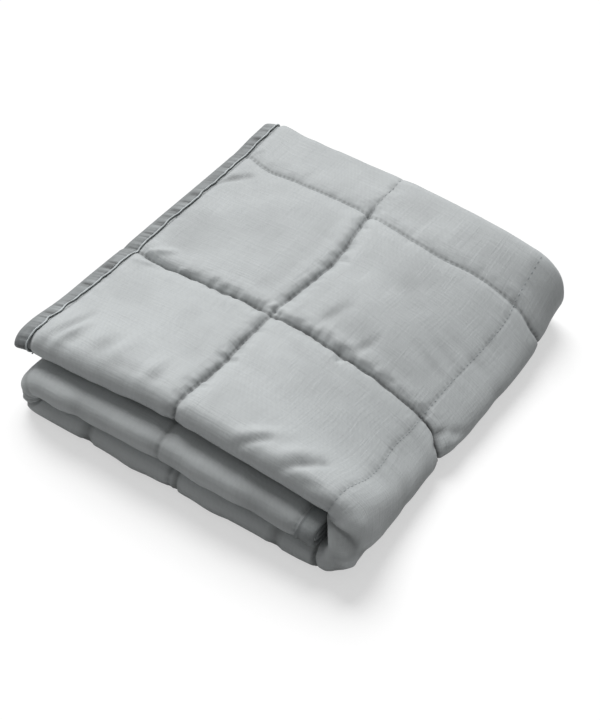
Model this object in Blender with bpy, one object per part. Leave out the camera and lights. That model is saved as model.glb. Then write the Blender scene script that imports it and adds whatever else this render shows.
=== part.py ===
"""A small quilted blanket, folded in quarters across its width and then in three along its length.

The cloth is laid out on two coordinates: a run along the folded strip, and a run around
the strip's own section, in which the cloth passes four times. Both runs are lines of
straights and round bends, and the soft hollows and shifts of the stack come after them.
"""
import math

import bmesh
import bpy
import numpy as np

COLLECTION = "folded_quilted_blanket"

# Cloth and folded strip
CLOTH = 0.0054            # quilted cloth between its two faces
LAYER = 0.0060            # from one layer of the strip to the next
STRIP_DEPTH = 0.296       # front fold to back edge
PANEL_GAP = 0.0016        # air between the three folded panels

# Places along the width of the stack, measured from the row of stitches beside the top edge
TOP_EDGE_X = -0.017       # free edge of the top panel
WRAP_X = 0.253            # where the top panel starts down the right side
LEFT_BEND_X = 0.016       # where the bottom panel starts up the left side
TUCKED_EDGE_X = 0.257

# Quilting
ROW_SEAMS = (0.127, 0.254)                       # seams along the strip, from the front fold
TOP_SEAMS_X = (-0.003, 0.127)                    # seams across the top panel
BOTTOM_SEAMS_X = (0.133,)                        # seams across the bottom panel
MIDDLE_SEAMS_X = (0.125, 0.243)                  # seams across the middle panel
WRAP_SEAMS = (0.09, 0.93)                        # seams on the right bend, as shares of its length
LEFT_SEAM = 0.4                                  # seam on the left bend, as a share of its length
ROW_SHARES = (1.0, 0.75)                         # how tight each seam along the strip is
CROSS_SHARES = (0.3, 0.9, 0.2, 0.4, 0.4, 0.5, 0.4, 0.4)  # and each seam across it
PINCH = 0.36                                     # share of the strip's height that a seam takes
LOWER_PINCH = 0.16                               # the same where two panels lie on each other
PINCH_REACH = 0.055                              # how far a seam gently draws the cloth in
CREASE_REACH = 0.012                             # and how far steeply
FRONT_PINCH = 0.005                              # how far a cross seam notches the front roll
FRONT_ROLL = 0.040                               # depth over which that notch fades
BACK_EASE = 0.85                                 # share of a cross seam's pull lost at the back fold
BACK_EASE_Y = (0.262, 0.288)
FRONT_EASE = 0.50                                # and at the front roll
FRONT_EASE_Y = (0.002, 0.034)

# Edge tape
TAPE = 0.0008
TAPE_WIDTH = 0.0125
TAPE_GAP = 0.0006
HEM_CLOTH = 0.0018        # cloth squeezed inside the tape
HEM_END = 0.0135          # where the squeezed cloth starts to fill out
TAPE_END_GAP = 0.0006     # between a side tape and the end tapes

# How the stack has settled
HEIGHT_SHARE = 0.93       # of the unloaded height, over most of the stack
RIGHT_DROP = 0.41         # share lost towards the right side
RIGHT_DROP_X = (0.130, 0.259)
FRONT_HOLD = 0.70         # how much of that drop the front roll resists
BACK_HOLD = 0.62          # and the back edge
HOLD_REACH = 0.048
FRONT_PUFF = 0.06         # extra height of the front roll
FRONT_PUFF_Y = 0.022
LOWER_SHIFT = -0.013      # the two lower panels lie further forward
TOP_SHIFT = 0.005         # and the top panel further back
SHIFT_FADE_Y = 0.200
FRONT_SWING = -0.003      # the top edge reaches further out at its front corner
BACK_SWING = 0.011        # and less far at its back corner
SWING_REACH = 0.110
SWING_BACK_Y = (0.080, 0.290)
LEFT_DROP = 0.12          # share of its height lost towards the left side
LEFT_DROP_X = (-0.020, 0.120)
LEFT_DROP_Y = (0.120, 0.290)   # most of that loss is gone by the back
HEM_DROP = 0.16           # and by which the free top edge hangs
HEM_DROP_X = (-0.032, 0.006)
RIGHT_CORNER = 0.012      # the right side draws in towards the back corner
RIGHT_CORNER_X = (0.190, 0.300)
RIGHT_CORNER_Y = (0.225, 0.300)
RIGHT_IN = 0.004          # and all along, behind the front roll
RIGHT_IN_Y = (0.020, 0.100)
BACK_REACH = 0.004        # the top panel reaches past the others at the back
CORNER_REACH = 0.004      # and further at its left corner
CORNER_REACH_X = (-0.020, 0.035)
BACK_REACH_Y = (0.210, STRIP_DEPTH)
LEFT_FOOT = 0.008         # the left bend squares off at the surface
LEFT_FOOT_X = (-0.008, 0.030)
LEFT_FOOT_HEIGHT = 0.022

# Spacing of the grid that the cloth is laid on
STRAIGHT_STEP = 0.050
SECTION_STEP = 0.056
BEND_STEP = 0.0115
SEAM_SHOULDER = 0.012
FRONT_LINES_Y = (0.028, 0.050)   # lines of points behind the front roll, where the cloth twists

HALF_STRIP = 1.5 * LAYER + CLOTH / 2
PITCH = 2 * HALF_STRIP + PANEL_GAP
BOTTOM_Z = HALF_STRIP
MIDDLE_Z = BOTTOM_Z + PITCH
TOP_Z = MIDDLE_Z + PITCH
WRAP_RADIUS = PITCH
LEFT_RADIUS = PITCH / 2

MATERIALS = {
    "quilted_cotton": ((0.49, 0.53, 0.54, 1.0), 0.90),
    "edge_tape": ((0.36, 0.39, 0.40, 1.0), 0.85),
}

# One row for each stretch: length, bend radius (0 where straight), turn (1 left, -1 right)
STRIP_RUN = (
    (WRAP_X - TOP_EDGE_X, 0.0, 0),
    (math.pi * WRAP_RADIUS, WRAP_RADIUS, -1),
    (WRAP_X - LEFT_BEND_X, 0.0, 0),
    (math.pi * LEFT_RADIUS, LEFT_RADIUS, -1),
    (TUCKED_EDGE_X - LEFT_BEND_X, 0.0, 0),
)
OUTER_RADIUS = 1.5 * LAYER
INNER_RADIUS = 0.5 * LAYER
FRONT_BEND_Y = OUTER_RADIUS + CLOTH / 2
BACK_BEND_Y = STRIP_DEPTH - INNER_RADIUS - CLOTH / 2
SECTION_RUN = (
    (STRIP_DEPTH - FRONT_BEND_Y, 0.0, 0),
    (math.pi * OUTER_RADIUS, OUTER_RADIUS, -1),
    (BACK_BEND_Y - FRONT_BEND_Y, 0.0, 0),
    (math.pi * INNER_RADIUS, INNER_RADIUS, -1),
    (BACK_BEND_Y - FRONT_BEND_Y, 0.0, 0),
    (math.pi * INNER_RADIUS, INNER_RADIUS, 1),
    (STRIP_DEPTH - FRONT_BEND_Y, 0.0, 0),
)
STRIP_START = ((TOP_EDGE_X, TOP_Z), 0.0)
SECTION_START = ((STRIP_DEPTH, -OUTER_RADIUS), math.pi)


def run_starts(run):
    """Distance at which each stretch of a run starts, and the whole length last."""
    return np.concatenate([[0.0], np.cumsum([row[0] for row in run])])


def along(run, start, distance, offset):
    """Points at a distance along a run of straights and bends, and offset to its left."""
    distance, offset = np.broadcast_arrays(np.asarray(distance, float), offset)
    (x, y), heading = start
    points = np.zeros(distance.shape + (2,))
    begin = 0.0
    for number, (length, radius, turn) in enumerate(run):
        low = -1.0 if number == 0 else begin
        high = 1e9 if number == len(run) - 1 else begin + length
        here = (distance > low) & (distance <= high)
        step = distance - begin
        if radius:
            angle = heading + turn * step / radius
            arm = turn * radius - offset
            centre = (x - turn * radius * math.sin(heading), y + turn * radius * math.cos(heading))
            points[here] = np.stack([centre[0] + arm * np.sin(angle),
                                     centre[1] - arm * np.cos(angle)], -1)[here]
            heading += turn * length / radius
            x = centre[0] + turn * radius * math.sin(heading)
            y = centre[1] - turn * radius * math.cos(heading)
        else:
            ahead, left = (math.cos(heading), math.sin(heading)), (-math.sin(heading), math.cos(heading))
            points[here] = np.stack([x + step * ahead[0] + offset * left[0],
                                     y + step * ahead[1] + offset * left[1]], -1)[here]
            x += length * ahead[0]
            y += length * ahead[1]
        begin += length
    return points


def smooth(value, low, high):
    """A soft step from 0 at low to 1 at high."""
    share = np.clip((value - low) / (high - low), 0.0, 1.0)
    return share * share * (3 - 2 * share)


def strip_seams():
    """Distances along the strip's run at which cross seams lie."""
    begin = run_starts(STRIP_RUN)
    return np.array([
        *(x - TOP_EDGE_X for x in TOP_SEAMS_X),
        *(begin[1] + share * STRIP_RUN[1][0] for share in WRAP_SEAMS),
        *(begin[2] + WRAP_X - x for x in BOTTOM_SEAMS_X),
        begin[3] + LEFT_SEAM * STRIP_RUN[3][0],
        *(begin[4] + x - LEFT_BEND_X for x in MIDDLE_SEAMS_X),
    ])


def drawn_in(place, seams, shares=1.0):
    """How strongly the seams draw the cloth in, from 0 to 1."""
    away = np.abs(np.asarray(place)[..., None] - np.asarray(seams))
    gentle = (1 - np.clip(away / PINCH_REACH, 0, 1)) ** 1.7
    steep = (1 - np.clip(away / CREASE_REACH, 0, 1)) ** 1.3
    return (np.asarray(shares) * (0.5 * gentle + 0.5 * steep)).max(-1)


def held_face(distance):
    """The height in the strip that stays put at a seam, and the share that the seam takes.

    It is the underside of the top panel, the underside of the bottom panel, which lies
    flat on its surface, and the middle of the middle panel.
    """
    begin = run_starts(STRIP_RUN)
    late_wrap = begin[1] + 0.55 * STRIP_RUN[1][0]
    to_bottom = smooth(distance, late_wrap, begin[2])
    to_middle = smooth(distance, begin[3], begin[4])
    held = HALF_STRIP * (-1 + 2 * to_bottom - to_middle)
    return held, PINCH + (LOWER_PINCH - PINCH) * to_bottom


def laid(distance, depth, height):
    """Cloth at a distance along the strip, a depth from its front and a height in it."""
    distance, depth, height = np.broadcast_arrays(distance, depth, height)
    seams = strip_seams()
    cross = drawn_in(np.clip(distance, seams[0], seams[-1]), seams, CROSS_SHARES)
    cross = cross * (1 - BACK_EASE * smooth(depth, *BACK_EASE_Y))
    cross = cross * (1 - FRONT_EASE * (1 - smooth(depth, *FRONT_EASE_Y)))
    held, depth_share = held_face(distance)
    pinch = depth_share * (1 - (1 - cross) * (1 - drawn_in(depth, ROW_SEAMS, ROW_SHARES)))
    height = held + (height - held) * (1 - pinch)
    depth = depth + FRONT_PINCH * cross * (1 - smooth(depth, 0, FRONT_ROLL))
    place = along(STRIP_RUN, STRIP_START, distance, height)
    return settled(place[..., 0], depth, place[..., 1])


def settled(x, y, z):
    """The stack as it has sunk: lower at the right, with panels slipped past each other."""
    hold = FRONT_HOLD * np.exp(-(y / HOLD_REACH) ** 2)
    hold = hold + BACK_HOLD * np.exp(-((y - STRIP_DEPTH) / HOLD_REACH) ** 2)
    rightward = np.clip((x - RIGHT_DROP_X[0]) / (RIGHT_DROP_X[1] - RIGHT_DROP_X[0]), 0, 1.1)
    share = HEIGHT_SHARE - RIGHT_DROP * rightward ** 1.7 * (1 - hold)
    share = share + FRONT_PUFF * np.exp(-((y - FRONT_PUFF_Y) / FRONT_PUFF_Y) ** 2)
    share = share - LEFT_DROP * (1 - smooth(x, *LEFT_DROP_X)) * (1 - 0.7 * smooth(y, *LEFT_DROP_Y))
    hang = HEM_DROP * (1 - smooth(x, *HEM_DROP_X))
    share = share * (1 - hang * smooth(z, MIDDLE_Z + LAYER, MIDDLE_Z + 2.4 * LAYER))
    above = TOP_Z - HALF_STRIP - PANEL_GAP / 2
    spread = 0.003 + 0.012 * smooth(x, WRAP_X, WRAP_X + WRAP_RADIUS)
    shift = LOWER_SHIFT + (TOP_SHIFT - LOWER_SHIFT) * smooth(z, above - spread, above + spread)
    fade = 1 - smooth(y, 0, SHIFT_FADE_Y)
    swing = FRONT_SWING * (1 - smooth(y, 0, SWING_REACH)) + BACK_SWING * smooth(y, *SWING_BACK_Y)
    swing = swing * smooth(z, MIDDLE_Z, TOP_Z) * (1 - smooth(x, TOP_EDGE_X, SWING_REACH))
    at_back = smooth(y, *RIGHT_CORNER_Y)
    corner = RIGHT_CORNER * at_back + RIGHT_IN * smooth(y, *RIGHT_IN_Y) * (1 - at_back)
    corner = corner * smooth(x, *RIGHT_CORNER_X)
    back = BACK_REACH + CORNER_REACH * (1 - smooth(x, *CORNER_REACH_X))
    back = back * smooth(y, *BACK_REACH_Y) * smooth(z, MIDDLE_Z, TOP_Z)
    foot = LEFT_FOOT * (1 - smooth(x, *LEFT_FOOT_X)) * (1 - smooth(z, 0, LEFT_FOOT_HEIGHT))
    return np.stack([x + swing - corner - foot, y + shift * fade + back, z * share], -1)


def spaced(run, marks, straight_step):
    """Distances along a run, with its ends, its marks and even steps between them."""
    begin = run_starts(run)
    fixed = sorted({round(float(mark), 6) for mark in (*begin, *marks) if 0 <= mark <= begin[-1]})
    kept = [fixed[0]]
    for mark in fixed[1:]:
        if mark - kept[-1] > 0.003:
            kept.append(mark)
    places = [kept[0]]
    for low, high in zip(kept, kept[1:]):
        stretch = min(int(np.searchsorted(begin, (low + high) / 2)) - 1, len(run) - 1)
        _length, radius, _turn = run[stretch]
        step = min(BEND_STEP, 0.55 * radius) if radius else straight_step
        count = max(1, math.ceil((high - low) / step - 0.05))
        places.extend(low + (high - low) * part / count for part in range(1, count + 1))
    return np.array(places)


def strip_places():
    """Distances along the strip at which the cloth has a row of points."""
    whole = run_starts(STRIP_RUN)[-1]
    seams = strip_seams()[1:-1]
    shoulders = [*(seams - SEAM_SHOULDER), *seams, *(seams + SEAM_SHOULDER)]
    hems = [HEM_END, HEM_END + 0.006, whole - HEM_END, whole - HEM_END - 0.006]
    return spaced(STRIP_RUN, [*shoulders, *hems], STRAIGHT_STEP)


def section_places():
    """Distances around the strip's section at which the cloth has a row of points."""
    begin = run_starts(SECTION_RUN)
    fronts = {0: -1, 2: 1, 4: -1, 6: 1}
    marks = []
    shoulders = (-SEAM_SHOULDER, 0.0, SEAM_SHOULDER)
    depths = [*FRONT_LINES_Y, *(seam + shoulder for seam in ROW_SEAMS for shoulder in shoulders)]
    for stretch, way in fronts.items():
        start = begin[stretch] if way > 0 else begin[stretch + 1]
        marks.extend(start + way * (depth - FRONT_BEND_Y) for depth in depths)
    whole = begin[-1]
    hems = [HEM_END, HEM_END + 0.006, whole - HEM_END, whole - HEM_END - 0.006]
    return spaced(SECTION_RUN, [*marks, *hems], SECTION_STEP)


def cloth_half(distance, around):
    """Half the cloth's thickness, squeezed where the tapes hold it."""
    full_length = run_starts(STRIP_RUN)[-1]
    full_section = run_starts(SECTION_RUN)[-1]
    from_edge = np.minimum(np.minimum(distance, full_length - distance),
                           np.minimum(around, full_section - around))
    full = smooth(from_edge, HEM_END - 0.0005, HEM_END + 0.005)
    return (HEM_CLOTH + (CLOTH - HEM_CLOTH) * full) / 2


def on_cloth(distance, around, offset):
    """A point of the folded blanket, offset from the middle of its cloth."""
    distance, around, offset = np.broadcast_arrays(distance, around, offset)
    section = along(SECTION_RUN, SECTION_START, around, offset)
    return laid(distance, section[..., 0], section[..., 1])


def closed_sheet(name, face, back, centre):
    """One closed body between two grids of points."""
    rows, columns = face.shape[:2]
    sheet = bmesh.new()
    face_points = [[sheet.verts.new(point - centre) for point in row] for row in face]
    back_points = [[sheet.verts.new(point - centre) for point in row] for row in back]
    for grid in (face_points, back_points):
        for row in range(rows - 1):
            for column in range(columns - 1):
                sheet.faces.new((grid[row][column], grid[row + 1][column],
                                 grid[row + 1][column + 1], grid[row][column + 1]))
    for row in range(rows - 1):
        for column in (0, columns - 1):
            sheet.faces.new((face_points[row][column], face_points[row + 1][column],
                             back_points[row + 1][column], back_points[row][column]))
    for column in range(columns - 1):
        for row in (0, rows - 1):
            sheet.faces.new((face_points[row][column], face_points[row][column + 1],
                             back_points[row][column + 1], back_points[row][column]))
    bmesh.ops.recalc_face_normals(sheet, faces=sheet.faces)
    mesh = bpy.data.meshes.new(name)
    sheet.to_mesh(mesh)
    sheet.free()
    mesh.shade_smooth()
    return bpy.data.objects.new(name, mesh)


def tape_profile():
    """The folded tape's outer and inner outlines: distance in from the cloth's edge, offset."""
    inside = HEM_CLOTH / 2 + TAPE_GAP
    outside = inside + TAPE
    nose = -TAPE_GAP - TAPE
    outer = [(TAPE_WIDTH, outside), (0.0, outside), (nose, outside / 2),
             (nose, -outside / 2), (0.0, -outside), (TAPE_WIDTH, -outside)]
    inner = [(TAPE_WIDTH, inside), (0.0, inside), (-TAPE_GAP, inside / 2),
             (-TAPE_GAP, -inside / 2), (0.0, -inside), (TAPE_WIDTH, -inside)]
    return np.array(outer), np.array(inner)


def quilt_grids():
    distance = strip_places()[:, None]
    around = section_places()[None, :]
    half = cloth_half(distance, around)
    return on_cloth(distance, around, half), on_cloth(distance, around, -half)


def end_tape_grids(at_far_end):
    """The tape over one end of the strip, which passes around all of the section."""
    whole = run_starts(STRIP_RUN)[-1]
    around = section_places()
    around[0] -= TAPE_GAP + TAPE
    around[-1] += TAPE_GAP + TAPE
    grids = []
    for outline in tape_profile():
        inward, offset = outline[:, 0][None, :], outline[:, 1][None, :]
        distance = whole - inward if at_far_end else inward
        grids.append(on_cloth(distance, around[:, None], offset))
    return grids


def side_tape_grids(at_far_edge):
    """The tape along one long edge of the cloth, between the two end tapes."""
    whole_strip = run_starts(STRIP_RUN)[-1]
    whole_section = run_starts(SECTION_RUN)[-1]
    clear = TAPE_WIDTH + TAPE_END_GAP
    places = strip_places()
    places = places[(places > clear + 0.0005) & (places < whole_strip - clear - 0.0005)]
    places = np.array([clear, *places, whole_strip - clear])
    grids = []
    for outline in tape_profile():
        inward, offset = outline[:, 0][None, :], outline[:, 1][None, :]
        around = whole_section - inward if at_far_edge else inward
        grids.append(on_cloth(places[:, None], around, offset))
    return grids


def material(name):
    colour, roughness = MATERIALS[name]
    made = bpy.data.materials.new(name)
    made.use_nodes = True
    shader = made.node_tree.nodes["Principled BSDF"]
    shader.inputs["Base Color"].default_value = colour
    shader.inputs["Roughness"].default_value = roughness
    made.diffuse_color = colour
    return made


def main():
    for old in list(bpy.data.objects):
        bpy.data.objects.remove(old)
    collection = bpy.data.collections.new(COLLECTION)
    bpy.context.scene.collection.children.link(collection)
    pieces = {
        "quilt": ("quilted_cotton", quilt_grids()),
        "tape_top_end": ("edge_tape", end_tape_grids(False)),
        "tape_tucked_end": ("edge_tape", end_tape_grids(True)),
        "tape_side_outer": ("edge_tape", side_tape_grids(False)),
        "tape_side_inner": ("edge_tape", side_tape_grids(True)),
    }
    cloud = np.concatenate([grid.reshape(-1, 3) for _slot, grids in pieces.values() for grid in grids])
    low, high = cloud.min(0), cloud.max(0)
    centre = np.array([(low[0] + high[0]) / 2, (low[1] + high[1]) / 2, low[2]])
    slots = {name: material(name) for name in MATERIALS}
    for name, (slot, (face, back)) in pieces.items():
        piece = closed_sheet(name, face, back, centre)
        piece.data.materials.append(slots[slot])
        collection.objects.link(piece)


if __name__ == "__main__":
    main()
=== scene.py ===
"""A small quilted cotton blanket, folded in quarters and then in three, on a pale floor."""
import math

import bpy
import numpy as np
from bpy.props import FloatProperty, FloatVectorProperty, PointerProperty
from bpy.types import Operator, Panel, PropertyGroup
from mathutils import Matrix, Vector


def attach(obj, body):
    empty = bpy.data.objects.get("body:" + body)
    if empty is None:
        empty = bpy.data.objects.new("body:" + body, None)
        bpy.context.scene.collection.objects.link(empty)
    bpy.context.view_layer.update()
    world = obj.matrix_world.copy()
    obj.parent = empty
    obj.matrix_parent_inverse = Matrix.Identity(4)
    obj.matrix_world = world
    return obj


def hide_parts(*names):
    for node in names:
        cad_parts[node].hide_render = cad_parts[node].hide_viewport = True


bl_info = {
    "name": "Folded Quilted Blanket",
    "version": (1, 0, 0),
    "blender": (4, 5, 0),
    "location": "3D View > Sidebar > Blanket",
    "description": "Builds a folded quilted blanket with taped edges and sewn squares",
    "category": "Object",
}

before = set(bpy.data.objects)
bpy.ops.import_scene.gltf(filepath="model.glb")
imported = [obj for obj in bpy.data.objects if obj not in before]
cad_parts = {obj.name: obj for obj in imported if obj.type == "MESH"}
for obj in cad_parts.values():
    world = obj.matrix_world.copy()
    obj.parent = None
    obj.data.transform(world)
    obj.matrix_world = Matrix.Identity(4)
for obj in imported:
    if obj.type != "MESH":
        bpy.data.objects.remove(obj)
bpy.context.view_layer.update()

# The folded strip, in metres, as the frame has it
CLOTH = 0.0054
LAYER = 0.0060
STRIP_DEPTH = 0.296
PANEL_GAP = 0.0016
TOP_EDGE_X = -0.017
WRAP_X = 0.253
LEFT_BEND_X = 0.016
TUCKED_EDGE_X = 0.257
STACK_CENTRE = np.array([0.134037, 0.146165, 0.0])

# Seams
ROW_SEAMS = (0.127, 0.254)
TOP_SEAMS_X = (-0.003, 0.127)
BOTTOM_SEAMS_X = (0.133,)
MIDDLE_SEAMS_X = (0.125, 0.243)
WRAP_SEAMS = (0.09, 0.93)
LEFT_SEAM = 0.4
ROW_SHARES = (1.0, 0.48)
CROSS_SHARES = (0.3, 0.9, 0.2, 0.4, 0.4, 0.5, 0.22, 0.1)
PINCH = 0.36
LOWER_PINCH = 0.16
PINCH_REACH = 0.055
ROW_CREASES = (1.1, 0.24)
CROSS_CREASES = (0.3, 0.75, 0.05, 0.4, 0.4, 0.5, 0.2, 0.1)
CREASE_REACH = 0.0066

# Painted shade in the seams of the cloth: a dark dot at each stitch, where it pulls the cloth in, and a
# dark band all along the line
PAINTED_ROW_DOTS = (0.45, 0.6)
PAINTED_CROSS_DOTS = (0.2, 0.6, 0.32, 0.3, 0.3, 0.3, 0.3, 0.3)
ROW_SHADE = (1.1, 0.1)
CROSS_SHADE = (0.0, 0.45, 0.0, 0.3, 0.3, 0.3, 0.3, 0.3)
GROOVE_WIDTH = 0.0013          # half width of the groove at a line of stitches
DOT_OFFSET = 0.0006            # from a seam to the middle of its dots
DOT_WIDTH = 0.0012
DOT_PITCH = 0.0044

# How far seams bow out on the top: seam, bow, reach along the strip, middle and reach in depth
SEAM_BOWS = ((1, 0.0065, 0.075, 0.188, 0.066), (2, 0.0015, 0.040, 0.038, 0.038))

# How the seams draw in the front roll and let go of the cloth at the back and front
FRONT_PINCH = 0.005
FRONT_ROLL = 0.040
BACK_EASE = 0.92
BACK_EASE_Y = (0.254, 0.274)
FRONT_EASE = 0.50
FRONT_EASE_Y = (0.002, 0.034)

# Tape
TAPE = 0.0008
TAPE_WIDTH = 0.0125
TAPE_GAP = 0.0006
HEM_CLOTH = 0.0018
HEM_END = 0.0135
TAPE_END_GAP = 0.0006
TAPE_STITCH_INSET = 0.0027     # from the tape's lip to its row of stitches

# How the stack has settled
HEIGHT_SHARE = 0.93
RIGHT_DROP = 0.41
RIGHT_DROP_X = (0.130, 0.259)
FRONT_HOLD = 0.70
BACK_HOLD = 0.62
HOLD_REACH = 0.048
FRONT_PUFF = 0.06
FRONT_PUFF_Y = 0.022
LOWER_SHIFT = -0.013
TOP_SHIFT = 0.005
SHIFT_FADE_Y = 0.200
FRONT_SWING = -0.003
BACK_SWING = 0.011
SWING_REACH = 0.110
SWING_BACK_Y = (0.080, 0.290)
LEFT_DROP = 0.12
LEFT_DROP_X = (-0.020, 0.120)
LEFT_DROP_Y = (0.120, 0.290)
HEM_DROP = 0.16
HEM_DROP_X = (-0.032, 0.006)
RIGHT_CORNER = 0.012
RIGHT_CORNER_X = (0.190, 0.300)
RIGHT_CORNER_Y = (0.225, 0.300)
RIGHT_IN = 0.004
RIGHT_IN_Y = (0.020, 0.100)
BACK_REACH = 0.004
CORNER_REACH = 0.004
CORNER_REACH_X = (-0.020, 0.035)
BACK_REACH_Y = (0.210, STRIP_DEPTH)
LEFT_FOOT = 0.008
LEFT_FOOT_X = (-0.008, 0.030)
LEFT_FOOT_HEIGHT = 0.022

HALF_STRIP = 1.5 * LAYER + CLOTH / 2
PITCH = 2 * HALF_STRIP + PANEL_GAP
BOTTOM_Z = HALF_STRIP
MIDDLE_Z = BOTTOM_Z + PITCH
TOP_Z = MIDDLE_Z + PITCH
WRAP_RADIUS = PITCH
LEFT_RADIUS = PITCH / 2
OUTER_RADIUS = 1.5 * LAYER
INNER_RADIUS = 0.5 * LAYER
FRONT_BEND_Y = OUTER_RADIUS + CLOTH / 2
BACK_BEND_Y = STRIP_DEPTH - INNER_RADIUS - CLOTH / 2

# One row for each stretch: length, bend radius (0 where straight), turn (1 left, -1 right)
STRIP_RUN = (
    (WRAP_X - TOP_EDGE_X, 0.0, 0),
    (math.pi * WRAP_RADIUS, WRAP_RADIUS, -1),
    (WRAP_X - LEFT_BEND_X, 0.0, 0),
    (math.pi * LEFT_RADIUS, LEFT_RADIUS, -1),
    (TUCKED_EDGE_X - LEFT_BEND_X, 0.0, 0),
)
SECTION_RUN = (
    (STRIP_DEPTH - FRONT_BEND_Y, 0.0, 0),
    (math.pi * OUTER_RADIUS, OUTER_RADIUS, -1),
    (BACK_BEND_Y - FRONT_BEND_Y, 0.0, 0),
    (math.pi * INNER_RADIUS, INNER_RADIUS, -1),
    (BACK_BEND_Y - FRONT_BEND_Y, 0.0, 0),
    (math.pi * INNER_RADIUS, INNER_RADIUS, 1),
    (STRIP_DEPTH - FRONT_BEND_Y, 0.0, 0),
)
STRIP_START = ((TOP_EDGE_X, TOP_Z), 0.0)
SECTION_START = ((STRIP_DEPTH, -OUTER_RADIUS), math.pi)


def run_starts(run):
    """Distance at which each stretch of a run starts, and the whole length last."""
    return np.concatenate([[0.0], np.cumsum([row[0] for row in run])])


STRIP_STARTS = run_starts(STRIP_RUN)
SECTION_STARTS = run_starts(SECTION_RUN)
STRIP_LENGTH = STRIP_STARTS[-1]
SECTION_LENGTH = SECTION_STARTS[-1]


def along(run, start, distance, offset):
    """Points at a distance along a run of straights and bends, and offset to its left."""
    distance, offset = np.broadcast_arrays(np.asarray(distance, float), offset)
    (x, y), heading = start
    points = np.zeros(distance.shape + (2,))
    begin = 0.0
    for number, (length, radius, turn) in enumerate(run):
        low = -1.0 if number == 0 else begin
        high = 1e9 if number == len(run) - 1 else begin + length
        here = (distance > low) & (distance <= high)
        step = distance[here] - begin
        if radius:
            angle = heading + turn * step / radius
            arm = turn * radius - offset[here]
            centre = (x - turn * radius * math.sin(heading), y + turn * radius * math.cos(heading))
            points[here] = np.stack([centre[0] + arm * np.sin(angle),
                                     centre[1] - arm * np.cos(angle)], -1)
            heading += turn * length / radius
            x = centre[0] + turn * radius * math.sin(heading)
            y = centre[1] - turn * radius * math.cos(heading)
        else:
            ahead, left = (math.cos(heading), math.sin(heading)), (-math.sin(heading), math.cos(heading))
            points[here] = np.stack([x + step * ahead[0] + offset[here] * left[0],
                                     y + step * ahead[1] + offset[here] * left[1]], -1)
            x += length * ahead[0]
            y += length * ahead[1]
        begin += length
    return points


def smooth(value, low, high):
    """A soft step from 0 at low to 1 at high."""
    share = np.clip((value - low) / (high - low), 0.0, 1.0)
    return share * share * (3 - 2 * share)


def bump(value, centre, reach):
    """A soft hill of height 1 at centre, level beyond reach."""
    return 1 - smooth(np.abs(value - centre), 0.0, reach)


def waver(x, y, seed):
    """Smooth unevenness between -1 and 1, one swell for each unit of x and y."""
    x, y = np.broadcast_arrays(np.asarray(x, float), np.asarray(y, float))
    lattice = np.random.default_rng(seed).uniform(-1, 1, (64, 64))
    column, row = np.floor(x).astype(int), np.floor(y).astype(int)
    across, down = x - column, y - row
    across, down = across * across * (3 - 2 * across), down * down * (3 - 2 * down)
    near = lattice[column % 64, row % 64] * (1 - across) + lattice[(column + 1) % 64, row % 64] * across
    far = (lattice[column % 64, (row + 1) % 64] * (1 - across)
           + lattice[(column + 1) % 64, (row + 1) % 64] * across)
    return near * (1 - down) + far * down


def strip_seams():
    """Distances along the strip's run at which cross seams lie."""
    return np.array([
        *(x - TOP_EDGE_X for x in TOP_SEAMS_X),
        *(STRIP_STARTS[1] + share * STRIP_RUN[1][0] for share in WRAP_SEAMS),
        *(STRIP_STARTS[2] + WRAP_X - x for x in BOTTOM_SEAMS_X),
        STRIP_STARTS[3] + LEFT_SEAM * STRIP_RUN[3][0],
        *(STRIP_STARTS[4] + x - LEFT_BEND_X for x in MIDDLE_SEAMS_X),
    ])


CROSS_SEAMS = strip_seams()


def to_seam(place, seams):
    """Distance to the nearest seam."""
    return np.abs(np.asarray(place)[..., None] - np.asarray(seams)).min(-1)


def drawn_in(place, run, seams, shares, creases, near_side, seed):
    """How strongly the seams draw the cloth in, from 0 to 1, with pleats in the steep part.

    near_side is how far the steep part reaches before a seam, as a share of its reach behind it.
    """
    past = np.asarray(place)[..., None] - np.asarray(seams)
    away = np.abs(past)
    gentle = (1 - np.clip(away / PINCH_REACH, 0, 1)) ** 1.7
    pleats = 1 + 0.60 * waver(run / 0.0060, place / 0.030, seed)
    pleats = pleats + 0.30 * waver(run / 0.0031, place / 0.020, seed + 1)
    reach = CREASE_REACH * np.where(past > 0, 1.0, near_side)
    steep = (1 - np.clip(away * pleats[..., None] / reach, 0, 1)) ** 1.3
    return 0.5 * (np.asarray(shares) * gentle + np.asarray(creases) * steep).max(-1)


def held_face(distance):
    """The height in the strip that stays put at a seam, and the share that the seam takes."""
    late_wrap = STRIP_STARTS[1] + 0.55 * STRIP_RUN[1][0]
    to_bottom = smooth(distance, late_wrap, STRIP_STARTS[2])
    to_middle = smooth(distance, STRIP_STARTS[3], STRIP_STARTS[4])
    held = HALF_STRIP * (-1 + 2 * to_bottom - to_middle)
    return held, PINCH + (LOWER_PINCH - PINCH) * to_bottom


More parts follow.
